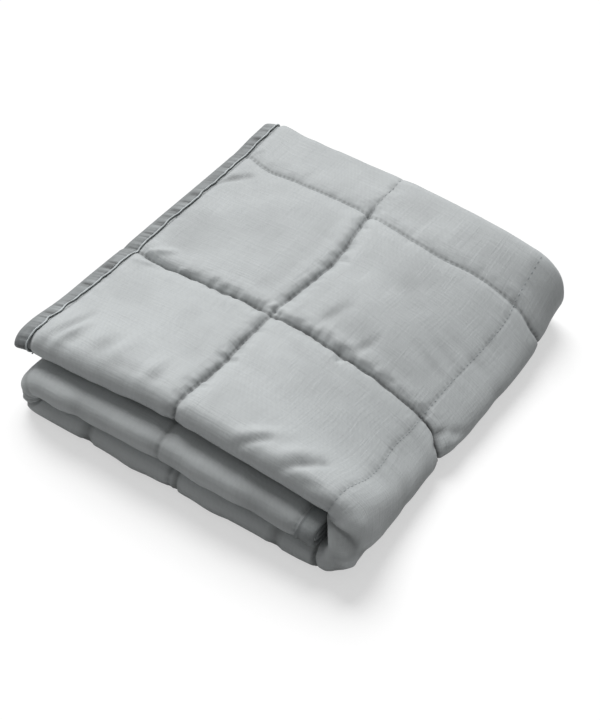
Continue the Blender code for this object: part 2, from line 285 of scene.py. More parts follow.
def settled(x, y, z):
    """The stack as it has sunk: lower at the right, with panels slipped past each other."""
    hold = FRONT_HOLD * np.exp(-(y / HOLD_REACH) ** 2)
    hold = hold + BACK_HOLD * np.exp(-((y - STRIP_DEPTH) / HOLD_REACH) ** 2)
    rightward = np.maximum((x - RIGHT_DROP_X[0]) / (RIGHT_DROP_X[1] - RIGHT_DROP_X[0]), 0)
    rightward = rightward - 0.05 * np.logaddexp(0, (rightward - 1.1) / 0.05)
    share = HEIGHT_SHARE - RIGHT_DROP * rightward ** 2.0 * (1 - hold)
    share = share + FRONT_PUFF * np.exp(-((y - FRONT_PUFF_Y) / FRONT_PUFF_Y) ** 2)
    share = share - LEFT_DROP * (1 - smooth(x, *LEFT_DROP_X)) * (1 - 0.7 * smooth(y, *LEFT_DROP_Y))
    hang = HEM_DROP * (1 - smooth(x, *HEM_DROP_X))
    share = share * (1 - hang * smooth(z, MIDDLE_Z + LAYER, MIDDLE_Z + 2.4 * LAYER))
    above = TOP_Z - HALF_STRIP - PANEL_GAP / 2
    spread = 0.003 + 0.012 * smooth(x, WRAP_X, WRAP_X + WRAP_RADIUS)
    shift = LOWER_SHIFT + (TOP_SHIFT - LOWER_SHIFT) * smooth(z, above - spread, above + spread)
    fade = 1 - smooth(y, 0, SHIFT_FADE_Y)
    swing = FRONT_SWING * (1 - smooth(y, 0, SWING_REACH)) + BACK_SWING * smooth(y, *SWING_BACK_Y)
    swing = swing * smooth(z, MIDDLE_Z, TOP_Z) * (1 - smooth(x, TOP_EDGE_X, SWING_REACH))
    at_back = smooth(y, *RIGHT_CORNER_Y)
    corner = RIGHT_CORNER * at_back + RIGHT_IN * smooth(y, *RIGHT_IN_Y) * (1 - at_back)
    corner = corner * smooth(x, *RIGHT_CORNER_X)
    back = BACK_REACH + CORNER_REACH * (1 - smooth(x, *CORNER_REACH_X))
    back = back * smooth(y, *BACK_REACH_Y) * smooth(z, MIDDLE_Z, TOP_Z)
    foot = LEFT_FOOT * (1 - smooth(x, *LEFT_FOOT_X)) * (1 - smooth(z, 0, LEFT_FOOT_HEIGHT))
    return np.stack([x + swing - corner - foot, y + shift * fade + back, z * share], -1)


def laid(distance, depth, height):
    """Cloth at a distance along the strip, a depth from its front and a height in it."""
    distance, depth, height = np.broadcast_arrays(distance, depth, height)
    inner = np.clip(distance, CROSS_SEAMS[0], CROSS_SEAMS[-1])
    cross = drawn_in(inner, depth, CROSS_SEAMS, CROSS_SHARES, CROSS_CREASES, 0.8, 71)
    cross = cross * (1 - BACK_EASE * smooth(depth, *BACK_EASE_Y))
    cross = cross * (1 - FRONT_EASE * (1 - smooth(depth, *FRONT_EASE_Y)))
    held, taken = held_face(distance)
    row = drawn_in(depth, distance, ROW_SEAMS, ROW_SHARES, ROW_CREASES, 0.45, 81)
    row = row * (1 - 0.5 * (1 - smooth(distance, 0.0, 0.035)))
    row = row * (1 - 0.5 * smooth(distance, WRAP_START + 0.010, WRAP_START + 0.050))
    pinch = taken * (1 - (1 - cross) * (1 - row))
    height = held + (height - held) * (1 - pinch)
    depth = depth + FRONT_PINCH * cross * (1 - smooth(depth, 0, FRONT_ROLL))
    distance, depth = wandered(distance, depth)
    place = along(STRIP_RUN, STRIP_START, distance, height)
    return settled(place[..., 0], depth, place[..., 1]) - STACK_CENTRE


def wandered(distance, depth):
    """The seams' own wander over the top panel and down the wrap."""
    top = 1 - smooth(distance, STRIP_STARTS[1], STRIP_STARTS[2])
    bow = sum(amount * bump(distance, CROSS_SEAMS[seam], reach) * bump(depth, middle, spread)
              for seam, amount, reach, middle, spread in SEAM_BOWS)
    drift = 0.0012 * waver(depth / 0.022, distance / 0.2, 3)
    dip = 0.0012 * waver(distance / 0.024, depth / 0.2, 5)
    slide = (0.004 + 0.026 * smooth(distance, 0.276, 0.335)) * bump(depth, ROW_SEAMS[0], 0.075)
    back_slide = 0.0045 + 0.004 * bump(distance, 0.195, 0.060) + 0.007 * smooth(distance, 0.278, 0.300)
    slide = slide + back_slide * bump(depth, ROW_SEAMS[1], 0.040)
    calm = smooth(distance, 0.010, 0.035) * smooth(depth, 0.004, 0.030)
    calm = calm * (1 - smooth(depth, 0.270, 0.290))
    return distance + top * calm * (bow + drift), depth + top * calm * (dip - slide)


def cloth_half(distance, around):
    """Half the cloth's thickness, squeezed where the tapes hold it."""
    from_edge = np.minimum(np.minimum(distance, STRIP_LENGTH - distance),
                           np.minimum(around, SECTION_LENGTH - around))
    full = smooth(from_edge, HEM_END - 0.0005, HEM_END + 0.005)
    return (HEM_CLOTH + (CLOTH - HEM_CLOTH) * full) / 2


def on_cloth(distance, around, offset):
    """A point of the folded blanket, offset from the middle of its cloth."""
    distance, around, offset = np.broadcast_arrays(distance, around, offset)
    section = along(SECTION_RUN, SECTION_START, around, offset)
    return laid(distance, section[..., 0], section[..., 1])


def graded(low, high, marks, near, far, reach=0.030):
    """Places from low to high, at every mark, close together by the marks and wider apart between."""
    stops = [low, *sorted(mark for mark in marks if low + near < mark < high - near), high]
    places = [low]
    for start, end in zip(stops, stops[1:]):
        fine = np.linspace(start, end, 400)
        spacing = near + (far - near) * smooth(to_seam(fine, marks), 0.0, reach)
        count = np.concatenate([[0.0], np.cumsum(np.diff(fine) / ((spacing[1:] + spacing[:-1]) / 2))])
        steps = max(1, math.ceil(count[-1]))
        places.extend(np.interp(np.linspace(0, count[-1], steps + 1)[1:], count, fine))
    return np.array(places)


def on_runs(seams):
    """The same seams as they cross each of the four straight runs of the section."""
    lines = []
    for stretch, outward in ((0, False), (2, True), (4, False), (6, True)):
        for seam in seams:
            from_front = seam - FRONT_BEND_Y
            start = SECTION_STARTS[stretch] if outward else SECTION_STARTS[stretch + 1]
            lines.append(start + from_front if outward else start - from_front)
    return np.array(lines)


ROW_LINES = on_runs(ROW_SEAMS)
TOP_RUN = SECTION_STARTS[2]                       # where the outer top layer leaves the front fold
TOP_RUN_END = SECTION_STARTS[3]
WRAP_START, WRAP_END = STRIP_STARTS[1], STRIP_STARTS[2]
FRONT_MIDDLE = (SECTION_STARTS[1] + SECTION_STARTS[2]) / 2     # halfway round the front fold

# Folds that the cloth has fallen into on the top panel. Each row: start x, start y, end x,
# end y, half width, height (a ridge above zero, a trough below), in metres from the row of
# stitches beside the top edge and from the front fold
TOP_FOLDS = (
    (0.178, 0.003, 0.198, 0.021, 0.0034, -0.0034),
    (0.182, 0.013, 0.202, 0.031, 0.0055, 0.0022),
    (0.215, 0.003, 0.239, 0.030, 0.0034, -0.0032),
    (0.210, 0.012, 0.230, 0.034, 0.0055, 0.0022),
    (0.231, 0.006, 0.248, 0.011, 0.0032, -0.0026),
    (0.008, 0.012, 0.018, 0.052, 0.0036, -0.0020),
    (0.014, 0.009, 0.024, 0.040, 0.0036, 0.0022),
    (0.024, 0.012, 0.028, 0.034, 0.0040, -0.0015),
    (0.045, 0.016, 0.050, 0.040, 0.0055, -0.0014),
    (0.060, 0.020, 0.063, 0.044, 0.0048, 0.0016),
    (0.091, 0.017, 0.095, 0.037, 0.0048, 0.0013),
    (0.099, 0.012, 0.102, 0.030, 0.0044, -0.0014),
    (0.050, 0.012, 0.082, 0.018, 0.0070, -0.0014),
    (0.004, 0.218, 0.024, 0.236, 0.0032, -0.0026),
    (0.128, 0.138, 0.120, 0.118, 0.0036, 0.0022),
    (0.007, 0.118, 0.026, 0.121, 0.0026, 0.0024),
    (0.008, 0.130, 0.024, 0.139, 0.0030, 0.0030),
    (0.226, 0.184, 0.265, 0.174, 0.0060, -0.0010),
    (0.226, 0.168, 0.262, 0.160, 0.0045, -0.0009),
    (0.160, 0.135, 0.168, 0.160, 0.0040, -0.0014),
    (0.196, 0.131, 0.201, 0.150, 0.0034, -0.0016),
)

# The crisp edge of the top layers on the right bend, with the lower cloth drawn in past it: start,
# end (each a distance along the strip and y from the front fold) and depth
FLAP_EDGE = ((0.2830, -0.0105), (0.3035, 0.0108), 0.0040)

# Wrinkles on the right bend: start distance, start y, end distance, end y, half width, height,
# with the distance along the strip and y from the front fold
BEND_FOLDS = (
    (0.281, -0.003, 0.300, 0.0135, 0.0030, 0.0012),
    (0.246, 0.193, 0.278, 0.193, 0.0060, -0.0009),
    (0.300, 0.004, 0.322, 0.030, 0.0040, -0.0016),
    (0.306, 0.002, 0.334, 0.020, 0.0030, 0.0012),
    (0.296, 0.012, 0.312, 0.040, 0.0050, 0.0012),
    (0.318, 0.000, 0.345, 0.012, 0.0030, -0.0014),
    (0.300, 0.070, 0.330, 0.080, 0.0060, -0.0009),
    (0.292, 0.136, 0.306, 0.150, 0.0036, -0.0016),
    (0.300, 0.134, 0.318, 0.160, 0.0040, 0.0012),
    (0.286, 0.190, 0.330, 0.182, 0.0080, -0.0010),
)

# Upright folds in the front rolls of the two lower panels: place along the strip, half width
# and height
ROLL_FOLDS = tuple(
    [(STRIP_STARTS[2] + WRAP_X - x, half_width, height) for x, half_width, height in (
        (0.260, 0.0020, -0.0034), (0.226, 0.0018, -0.0024), (0.188, 0.0020, -0.0028),
        (0.139, 0.0022, -0.0034), (0.058, 0.0020, -0.0036), (0.100, 0.0120, 0.0014),
        (0.170, 0.0120, 0.0012))]
    + [(STRIP_STARTS[4] + x - LEFT_BEND_X, half_width, height) for x, half_width, height in (
        (0.034, 0.0080, 0.0014), (0.052, 0.0060, -0.0010), (0.160, 0.0140, 0.0012),
        (0.205, 0.0100, -0.0010))]
    + [(STRIP_STARTS[3] + share * STRIP_RUN[3][0], half_width, height) for share, half_width, height in (
        (0.26, 0.0014, -0.0034), (0.52, 0.0018, -0.0022), (0.74, 0.0022, -0.0016))])


def creased(x, y, folds):
    """Height that the listed folds add at places on the cloth."""
    total = np.zeros(np.broadcast(x, y).shape)
    for start_x, start_y, end_x, end_y, half_width, height in folds:
        run_x, run_y = end_x - start_x, end_y - start_y
        length = math.hypot(run_x, run_y)
        ahead_x, ahead_y = run_x / length, run_y / length
        off_x, off_y = x - start_x, y - start_y
        forward = off_x * ahead_x + off_y * ahead_y
        sideways = (off_y * ahead_x - off_x * ahead_y) / half_width
        beyond = np.maximum(np.maximum(-forward, forward - length), 0) / (half_width * 1.5)
        taper = 0.35 + 0.65 * np.sin(np.pi * np.clip(forward / length, 0.12, 0.88))
        total += height * taper * np.exp(-sideways ** 2 - beyond ** 2)
    return total


def front_edge(distance, around):
    """The underside of the top panel's front roll, drawn in to a thinner, scalloped edge."""
    under = 1 - smooth(around, SECTION_STARTS[1] - 0.004, FRONT_MIDDLE + 0.003)
    under = under * smooth(around, SECTION_STARTS[1] - 0.030, SECTION_STARTS[1] - 0.008)
    top = smooth(distance, 0.014, 0.060) * (1 - smooth(distance, WRAP_START - 0.03, WRAP_START + 0.01))
    scallop = 0.0030 * waver(distance / 0.018, 0.5, 27) + 0.0010 * waver(distance / 0.007, 0.5, 28)
    return -top * under * (0.0034 + scallop)


def flap_edge(distance, y):
    """The drawn-in cloth past the crisp edge on the right bend."""
    (start_d, start_y), (end_d, end_y), deep = FLAP_EDGE
    length = math.hypot(end_d - start_d, end_y - start_y)
    ahead_d, ahead_y = (end_d - start_d) / length, (end_y - start_y) / length
    forward = (distance - start_d) * ahead_d + (y - start_y) * ahead_y
    past = (distance - start_d) * ahead_y - (y - start_y) * ahead_d
    held = smooth(forward, -0.006, 0.001) * (1 - smooth(forward, length - 0.008, length + 0.004))
    return -deep * held * smooth(past, -0.0006, 0.0012) * np.exp(-np.maximum(past, 0) / 0.009)


def roll_folds(distance, around):
    """Height that the upright folds add at the front rolls."""
    upright = np.exp(-((around - FRONT_MIDDLE) / 0.014) ** 4)
    return sum(height * np.exp(-((distance - place) / half_width) ** 2)
               for place, half_width, height in ROLL_FOLDS) * upright


def beside(place, seams, shares):
    """Signed distance to the nearest seam, and that seam's share."""
    away = np.asarray(place)[..., None] - np.asarray(seams)
    nearest = np.abs(away).argmin(-1)
    return np.take_along_axis(away, nearest[..., None], -1)[..., 0], np.asarray(shares)[nearest]


def stitched_hollow(away, share):
    """The groove at a line of stitches and the plump shoulders of the cloth beside it."""
    groove = 0.0013 * np.exp(-(away / GROOVE_WIDTH) ** 2) + 0.0005 * np.exp(-np.abs(away) / 0.003)
    shoulder = 0.0007 * np.exp(-((np.abs(away) - 0.010) / 0.006) ** 2)
    return share * shoulder - (0.2 + 0.8 * share) * groove


def bend_creases(distance, around):
    """The deep narrow creases where the seams along the strip go down the right bend."""
    down = smooth(distance, WRAP_START + 0.004, WRAP_START + 0.030)
    deep = np.exp(-((around - ROW_LINES[2]) / 0.0016) ** 2)
    slight = np.exp(-((around - ROW_LINES[3]) / 0.0016) ** 2)
    return -down * (0.0030 * deep + 0.0012 * slight)


def gathers(run, away, swell, seed):
    """Small pleats that run out from a line of stitches, with soft bulges between them."""
    wave = waver(run / swell, away / 0.020, seed)
    pleats = np.exp(-(waver(run / (swell * 0.9), away / 0.016, seed + 1) / 0.16) ** 2)
    return 0.8 * wave - pleats


def relief(distance, around, pucker):
    """Fine height of the cloth's outer face: stitched grooves, puckers and soft unevenness."""
    row, row_share = beside(around, ROW_LINES, np.tile(ROW_SHARES, 4))
    cross, cross_share = beside(distance, CROSS_SEAMS, CROSS_SHARES)
    eased = 1 - 0.8 * smooth(around, ROW_LINES[3], ROW_LINES[3] + 0.010)
    shape = stitched_hollow(row, row_share) + stitched_hollow(cross, cross_share) * eased
    row_reach = np.exp(-np.abs(row) / 0.008) * np.where(row > 0, 1.0, 0.45) * row_share ** 1.3
    cross_reach = np.exp(-np.abs(cross) / 0.007) * np.sqrt(cross_share) * 0.7
    drawn = row_reach * gathers(distance, row, 0.0054, 11)
    drawn = drawn + cross_reach * gathers(around, cross, 0.0042, 15)
    broad = 0.0007 * waver(distance / 0.042, around / 0.030, 21)
    broad = broad + 0.00035 * waver(distance / 0.014, around / 0.017, 22)
    folds = roll_folds(distance, around) + bend_creases(distance, around) + front_edge(distance, around)
    return shape + pucker * drawn + broad + folds


def shown(distance, around):
    """1 where the cloth's outer face can be seen, falling to 0 deep between the panels."""
    front = 1 - smooth(np.abs(around - FRONT_MIDDLE), 0.022, 0.045)
    across = smooth(around, TOP_RUN - 0.01, TOP_RUN)
    across = across * (1 - smooth(around, TOP_RUN_END, TOP_RUN_END + 0.012))
    top = across * (1 - smooth(distance, WRAP_END - 0.02, WRAP_END))
    left = across * bump(distance, (STRIP_STARTS[3] + STRIP_STARTS[4]) / 2, 0.040)
    return np.maximum(front, np.maximum(top, left))


def joined(stretches, marks):
    """Places over several stretches, each with its own closest and widest step."""
    places = [np.array([stretches[0][0]])]
    for low, high, near, far in stretches:
        inside = [mark for mark in marks if low < mark < high]
        places.append(graded(low, high, inside or [low], near, far)[1:])
    return np.concatenate(places)


def hems(length):
    """Places where the cloth swells out beside a tape, at both ends of a length."""
    return [HEM_END, HEM_END + 0.006, length - HEM_END, length - HEM_END - 0.006]


def quilt_rows():
    """Places along the strip for the quilt's grid, closest where it shows."""
    starts = STRIP_STARTS
    stretches = (
        (0.0, starts[1], 0.0012, 0.0022),
        (starts[1], starts[2], 0.0013, 0.0020),
        (starts[2], starts[3], 0.0030, 0.0070),
        (starts[3], starts[4], 0.0014, 0.0020),
        (starts[4], STRIP_LENGTH, 0.0030, 0.0070),
    )
    return joined(stretches, [*CROSS_SEAMS, *hems(STRIP_LENGTH)])


def quilt_columns():
    """Places round the section for the quilt's grid, closest where it shows."""
    starts = SECTION_STARTS
    stretches = (
        (0.0, starts[1] - 0.045, 0.0070, 0.0160),
        (starts[1] - 0.045, starts[1], 0.0026, 0.0032),
        (starts[1], starts[2], 0.0016, 0.0016),
        (starts[2], starts[3], 0.0012, 0.0022),
        (starts[3], starts[4], 0.0012, 0.0012),
        (starts[4], starts[4] + 0.030, 0.0050, 0.0060),
        (starts[4] + 0.030, starts[5], 0.0120, 0.0200),
        (starts[5], starts[6], 0.0018, 0.0018),
        (starts[6], SECTION_LENGTH, 0.0070, 0.0160),
    )
    return joined(stretches, [*ROW_LINES, *hems(SECTION_LENGTH)])


def thinned(places, gap, kept_marks):
    """Indices of places at least a gap apart, with the marks and both ends kept."""
    chosen = [0]
    marked = {int(np.abs(places - mark).argmin()) for mark in kept_marks}
    for index in range(1, len(places) - 1):
        if index in marked or places[index] - places[chosen[-1]] >= gap:
            chosen.append(index)
    return [*chosen, len(places) - 1]


def shell_faces(rows, columns, kept):
    """Faces of a closed shell between a fine grid and a back grid with only the kept columns."""
    face = np.arange(rows * columns).reshape(rows, columns)
    back = rows * columns + np.arange(rows * len(kept)).reshape(rows, len(kept))
    faces = []
    for grid in (face, back[:, ::-1]):
        corners = (grid[:-1, :-1], grid[1:, :-1], grid[1:, 1:], grid[:-1, 1:])
        faces.extend(np.stack(corners, -1).reshape(-1, 4).tolist())
    for side in ((back[:, 0], face[:, 0]), (face[:, -1], back[:, -1])):
        corners = (side[0][:-1], side[0][1:], side[1][1:], side[1][:-1])
        faces.extend(np.stack(corners, -1).tolist())
    for row, order in ((0, 1), (rows - 1, -1)):
        for number, (start, end) in enumerate(zip(kept, kept[1:])):
            fan = [[face[row, column], face[row, column + 1], back[row, number]]
                   for column in range(start, end)]
            fan.append([face[row, end], back[row, number + 1], back[row, number]])
            faces.extend([int(corner) for corner in corners[::order]] for corners in fan)
    return faces


def new_piece(name, points, faces):
    """A smooth closed piece at the origin, with its faces turned out."""
    mesh = bpy.data.meshes.new(name)
    mesh.from_pydata(points.tolist(), [], faces)
    mesh.shade_smooth()
    piece = bpy.data.objects.new(name, mesh)
    bpy.context.collection.objects.link(piece)
    bpy.ops.object.select_all(action="DESELECT")
    bpy.context.view_layer.objects.active = piece
    piece.select_set(True)
    bpy.ops.object.mode_set(mode="EDIT")
    bpy.ops.mesh.select_all(action="SELECT")
    bpy.ops.mesh.normals_make_consistent(inside=False)
    bpy.ops.object.mode_set(mode="OBJECT")
    piece.select_set(False)
    return piece


def shell_piece(name, face, back, flat, kept):
    """A closed sheet of cloth whose UV map is its place on the flat cloth, in metres."""
    rows, columns = face.shape[:2]
    points = np.concatenate([face.reshape(-1, 3), back.reshape(-1, 3)])
    piece = new_piece(name, points, shell_faces(rows, columns, kept))
    flat = np.concatenate([flat.reshape(-1, 2), flat[:, kept].reshape(-1, 2)])
    corners = np.empty(len(piece.data.loops), np.int32)
    piece.data.loops.foreach_get("vertex_index", corners)
    layer = piece.data.uv_layers.new(name="flat_cloth")
    layer.data.foreach_set("uv", flat[corners].astype(np.float32).ravel())
    return piece


def mark_points(piece, name, values):
    """Keeps one number for each point, for the piece's material."""
    attribute = piece.data.attributes.new(name, "FLOAT", "POINT")
    attribute.data.foreach_set("value", np.asarray(values, np.float32).ravel())


def quilt_face(distance, around, pucker):
    """Points of the quilt's outer face, and how far its finest shape stands out."""
    half = cloth_half(distance, around)
    plain = on_cloth(distance, around, half)
    fine = relief(distance, around, pucker) * shown(distance, around)
    top = 1 - smooth(around, TOP_RUN_END - 0.006, TOP_RUN_END + 0.004)
    top = top * (1 - smooth(distance, WRAP_END - 0.03, WRAP_END))
    spread = plain + STACK_CENTRE
    folds = creased(spread[..., 0], spread[..., 1], TOP_FOLDS)
    folds = folds * smooth(around, TOP_RUN - 0.020, TOP_RUN + 0.010)
    from_fold = around - TOP_RUN + FRONT_BEND_Y
    bent = creased(distance, from_fold, BEND_FOLDS) + flap_edge(distance, from_fold)
    folds = folds + bent * smooth(around, TOP_RUN - 0.032, TOP_RUN - 0.014)
    fine = fine + folds * top
    fine = fine * smooth(np.minimum(distance, STRIP_LENGTH - distance), HEM_END - 0.001, HEM_END + 0.004)
    fine = fine * smooth(plain[..., 2], 0.0008, 0.006)
    return on_cloth(distance, around, half + fine), fine


def make_quilt(pucker):
    """The quilted cloth, with the marks of painted shade that its material darkens it by."""
    rows, columns = quilt_rows(), quilt_columns()
    kept = thinned(columns, 0.026, [*SECTION_STARTS, *ROW_LINES, *hems(SECTION_LENGTH)])
    distance, around = rows[:, None], columns[None, :]
    face, fine = quilt_face(distance, around, pucker)
    behind = columns[kept][None, :]
    back = on_cloth(distance, behind, -cloth_half(distance, behind))
    flat = np.stack(np.broadcast_arrays(distance, around), -1)
    piece = shell_piece("quilted_cloth", face, back, flat, kept)
    row, row_dots = beside(around, ROW_LINES, np.tile(PAINTED_ROW_DOTS, 4))
    cross, cross_dots = beside(distance, CROSS_SEAMS, PAINTED_CROSS_DOTS)
    # Painted shade: a dark band along each line of stitches, darker down the right bend, and a dark line
    # in the gap beside the top end's tape
    row_shade = beside(around, ROW_LINES, np.tile(ROW_SHADE, 4))[1] * np.exp(-(row / GROOVE_WIDTH) ** 2)
    row_shade = row_shade * (1 + 0.9 * smooth(distance, WRAP_START, WRAP_START + 0.020))
    faint = 1 - 0.75 * smooth(around, ROW_LINES[3], ROW_LINES[3] + 0.010)
    cross_shade = beside(distance, CROSS_SEAMS, CROSS_SHADE)[1] * np.exp(-(cross / GROOVE_WIDTH) ** 2)
    cross_shade = cross_shade * faint
    tape_gap_shade = np.exp(-((distance - HEM_END) / 0.0010) ** 2)
    seen = shown(distance, around)
    shade = np.maximum(np.maximum(row_shade, cross_shade), tape_gap_shade) * seen
    # Painted shade for the material: hollow darkens the valleys of the relief, the folds and creases,
    # the seam grooves and the gap beside the tape; the two dot marks place a painted shade dot at each
    # stitch
    marks = {
        "hollow": np.clip(-fine / 0.0026, 0, 1) + shade,
        "row_dot_shade": row_dots * np.exp(-((row - DOT_OFFSET) / DOT_WIDTH) ** 2) * seen,
        "cross_dot_shade": cross_dots * np.exp(-((cross + DOT_OFFSET) / DOT_WIDTH) ** 2) * seen * faint,
    }
    for name, values in marks.items():
        values = np.broadcast_to(values, fine.shape)
        mark_points(piece, name, np.concatenate([values.ravel(), values[:, kept].ravel() * 0]))
    return piece


def tape_outline():
    """The folded tape's section: distance in from the cloth's edge, outer and inner offset."""
    inside = HEM_CLOTH / 2 + TAPE_GAP
    outside = inside + TAPE
    flat_part = np.linspace(TAPE_WIDTH, 0.0004, 12)
    turn = np.linspace(0, math.pi, 7)[1:-1]
    inward = np.concatenate([flat_part, -(TAPE_GAP + TAPE) * np.sin(turn), flat_part[::-1]])
    inner_inward = np.concatenate([flat_part, -TAPE_GAP * np.sin(turn), flat_part[::-1]])
    outer = np.concatenate([np.full(12, outside), outside * np.cos(turn), np.full(12, -outside)])
    inner = np.concatenate([np.full(12, inside), inside * np.cos(turn), np.full(12, -inside)])
    return inward, inner_inward, outer, inner


def make_tape(name, places, laid_at, pucker, ridge, seed):
    """A tape folded over an edge; laid_at turns (inward, along, offset) into points."""
    inward, inner_inward, outer, inner = tape_outline()
    run, side = places[:, None], np.sign(outer)[None, :]
    lip = smooth(inward, TAPE_WIDTH - 0.0022, TAPE_WIDTH - 0.0010)[None, :]
    stitched = np.exp(-((inward - (TAPE_WIDTH - TAPE_STITCH_INSET)) / 0.0007) ** 2)[None, :]
    ripple = waver(run / 0.0026, side * 3.3, seed) + 0.8 * waver(run / 0.0016, side * 5.1, seed + 1)
    reach = smooth(inward, -0.002, 0.006)[None, :]
    fine = pucker * ripple * reach * (1 - 0.7 * lip) + 0.0007 * lip - 0.0004 * stitched
    wander = 0.0015 * waver(run / 0.010, side * 2.0, seed + 2)
    wander = wander + 0.0005 * waver(run / 0.004, side, seed + 3)
    wander = wander * smooth(inward, 0.004, TAPE_WIDTH) * smooth(run, SECTION_STARTS[1] + 0.004, TOP_RUN)
    face = laid_at(inward[None, :] + wander, run, outer[None, :] + side * fine)
    back = laid_at(inner_inward[None, :] + wander, run, np.broadcast_to(inner[None, :], wander.shape))
    across = np.cumsum(np.abs(np.diff(inward, prepend=inward[0])))[None, :]
    flat = np.stack(np.broadcast_arrays(run, across), -1)
    piece = shell_piece(name, face, back, flat, list(range(len(inward))))
    # Painted light on the tape: shade in its pucker valleys, light and shade streaks that follow the
    # ripples, and a painted highlight along the lip's ridge
    hollow = np.clip(-fine / (2 * pucker), 0, 1) - 0.6 * ripple * reach * (1 - lip) - ridge * lip
    mark_points(piece, "hollow", np.concatenate([hollow.ravel(), hollow.ravel() * 0]))
    return piece


def end_tape_places(shown_step, hidden_step):
    """Places along an end tape, close together round the front and over the top."""
    starts = SECTION_STARTS
    stretches = (
        (-TAPE_GAP - TAPE, starts[1] - 0.030, hidden_step, hidden_step),
        (starts[1] - 0.030, starts[4] + 0.010, shown_step, shown_step),
        (starts[4] + 0.010, starts[5], hidden_step, hidden_step),
        (starts[5], starts[6], 0.0020, 0.0020),
        (starts[6], SECTION_LENGTH + TAPE_GAP + TAPE, hidden_step, hidden_step),
    )
    return joined(stretches, [])


def side_tape_places():
    """Places along a side tape, clear of the end tapes."""
    clear = TAPE_WIDTH + TAPE_END_GAP
    return np.linspace(clear, STRIP_LENGTH - clear, 330)


# How a place (inward from an edge, run along it, offset from the cloth's middle) lies, for each edge
TAPE_LAYS = {
    "tape_top_end": lambda inward, run, offset: on_cloth(inward, run, offset),
    "tape_tucked_end": lambda inward, run, offset: on_cloth(STRIP_LENGTH - inward, run, offset),
    "tape_side_outer": lambda inward, run, offset: on_cloth(run, inward, offset),
    "tape_side_inner": lambda inward, run, offset: on_cloth(run, SECTION_LENGTH - inward, offset),
}


def make_tapes(pucker):
    """The four edge tapes, by the names of the pieces that they stand for."""
    places = (end_tape_places(0.0010, 0.008), end_tape_places(0.006, 0.010),
              side_tape_places(), side_tape_places())
    # ridges: the strength of the painted highlight along each tape's lip
    ridges, seeds = (2.2, 0.0, 0.4, 0.4), (31, 41, 51, 61)
    return {edge: make_tape("edge_" + edge, run, lay, pucker, ridge, seed)
            for (edge, lay), run, ridge, seed in zip(TAPE_LAYS.items(), places, ridges, seeds)}


def make_stitches(name, starts, ends, lift, radius):
    """Short round stitches, each dipping into the cloth at both ends."""
    middle, half = (starts + ends) / 2, (ends - starts) / 2
    across = np.cross(half, lift)
    across /= np.linalg.norm(across, axis=1)[:, None]
    up = np.cross(across, half)
    up /= np.linalg.norm(up, axis=1)[:, None]
    sides, stations = 6, 5
    rings = []
    for station in range(stations):
        share = station / (stations - 1) * 2 - 1
        thick = radius * math.sqrt(max(0.12, 1 - abs(share) ** 3))
        centre = middle + half * share - up * radius * 2.2 * share ** 4
        for side in range(sides):
            angle = 2 * math.pi * side / sides
            rings.append(centre + (across * math.cos(angle) + up * math.sin(angle)) * thick)
    one = [[ring * sides + side, ring * sides + (side + 1) % sides,
            (ring + 1) * sides + (side + 1) % sides, (ring + 1) * sides + side]
           for ring in range(stations - 1) for side in range(sides)]
    last = (stations - 1) * sides
    one += [list(range(sides)), list(range(last, last + sides))]
    size = sides * stations
    faces = [[number * size + corner for corner in face]
             for number in range(len(starts)) for face in one]
    return new_piece(name, np.stack(rings, 1).reshape(-1, 3), faces)


def stitch_line(place_at, low, high, pitch, length):
    """Starts, ends and outward directions of the stitches from low to high."""
    count = int((high - low) / pitch)
    middle = low + (np.arange(count) + 0.5) * (high - low) / count
    starts, ends = place_at(middle - length / 2), place_at(middle + length / 2)
    return starts, ends, place_at(middle, 0.002) - place_at(middle)


def seam_stitches(pucker, pitch, length, radius):
    """Stitches along the seams that can be seen, in the bottom of their valleys."""
    lines = []

    def across_strip(seam):
        def place_at(around, lift=0.0):
            fine = quilt_face(np.full(1, seam)[:, None], around[None, :], pucker)[1]
            depth = cloth_half(seam, around) + fine[0]
            return on_cloth(seam, around, depth + radius * 0.4 + lift)
        return place_at

    def along_strip(line):
        def place_at(distance, lift=0.0):
            fine = quilt_face(distance[:, None], np.full(1, line)[None, :], pucker)[1]
            depth = cloth_half(distance, line) + fine[:, 0]
            return on_cloth(distance, line, depth + radius * 0.4 + lift)
        return place_at

    front, back = SECTION_STARTS[1], SECTION_STARTS[4]
    for seam in CROSS_SEAMS:
        on_top = seam < STRIP_STARTS[2] - 0.03
        high = back if on_top else SECTION_STARTS[2] + 0.004
        lines.append(stitch_line(across_strip(seam), front + 0.006, high, pitch, length))
    for line in ROW_LINES:
        if TOP_RUN < line < TOP_RUN_END:
            low, high = HEM_END + 0.003, WRAP_END - 0.012
            lines.append(stitch_line(along_strip(line), low, high, pitch, length))
    return lines


def tape_stitches(radius):
    """The row of stitches that holds each tape that shows, on both faces of the cloth."""
    offset = HEM_CLOTH / 2 + TAPE_GAP + TAPE - 0.0004 + radius * 0.5
    inward = TAPE_WIDTH - TAPE_STITCH_INSET
    rows = (
        ("tape_top_end", SECTION_STARTS[1] + 0.006, SECTION_STARTS[4], 0.0034, 0.0024),
        ("tape_side_outer", 0.02, STRIP_STARTS[2], 0.0040, 0.0028),
        ("tape_side_inner", 0.02, STRIP_STARTS[2], 0.0040, 0.0028),
    )
    lines = []
    for side in (1, -1):
        for edge, low, high, pitch, length in rows:
            def place_at(run, lift=0.0, side=side, lay=TAPE_LAYS[edge]):
                return lay(inward, run, side * (offset + lift))

            lines.append(stitch_line(place_at, low, high, pitch, length))
    return lines


def feed(tree, node, inputs):
    """Gives a node's inputs their values, or links them to the outputs of other nodes."""
    for name, value in inputs.items():
        if isinstance(value, bpy.types.NodeSocket):
            tree.links.new(value, node.inputs[name])
        else:
            node.inputs[name].default_value = value


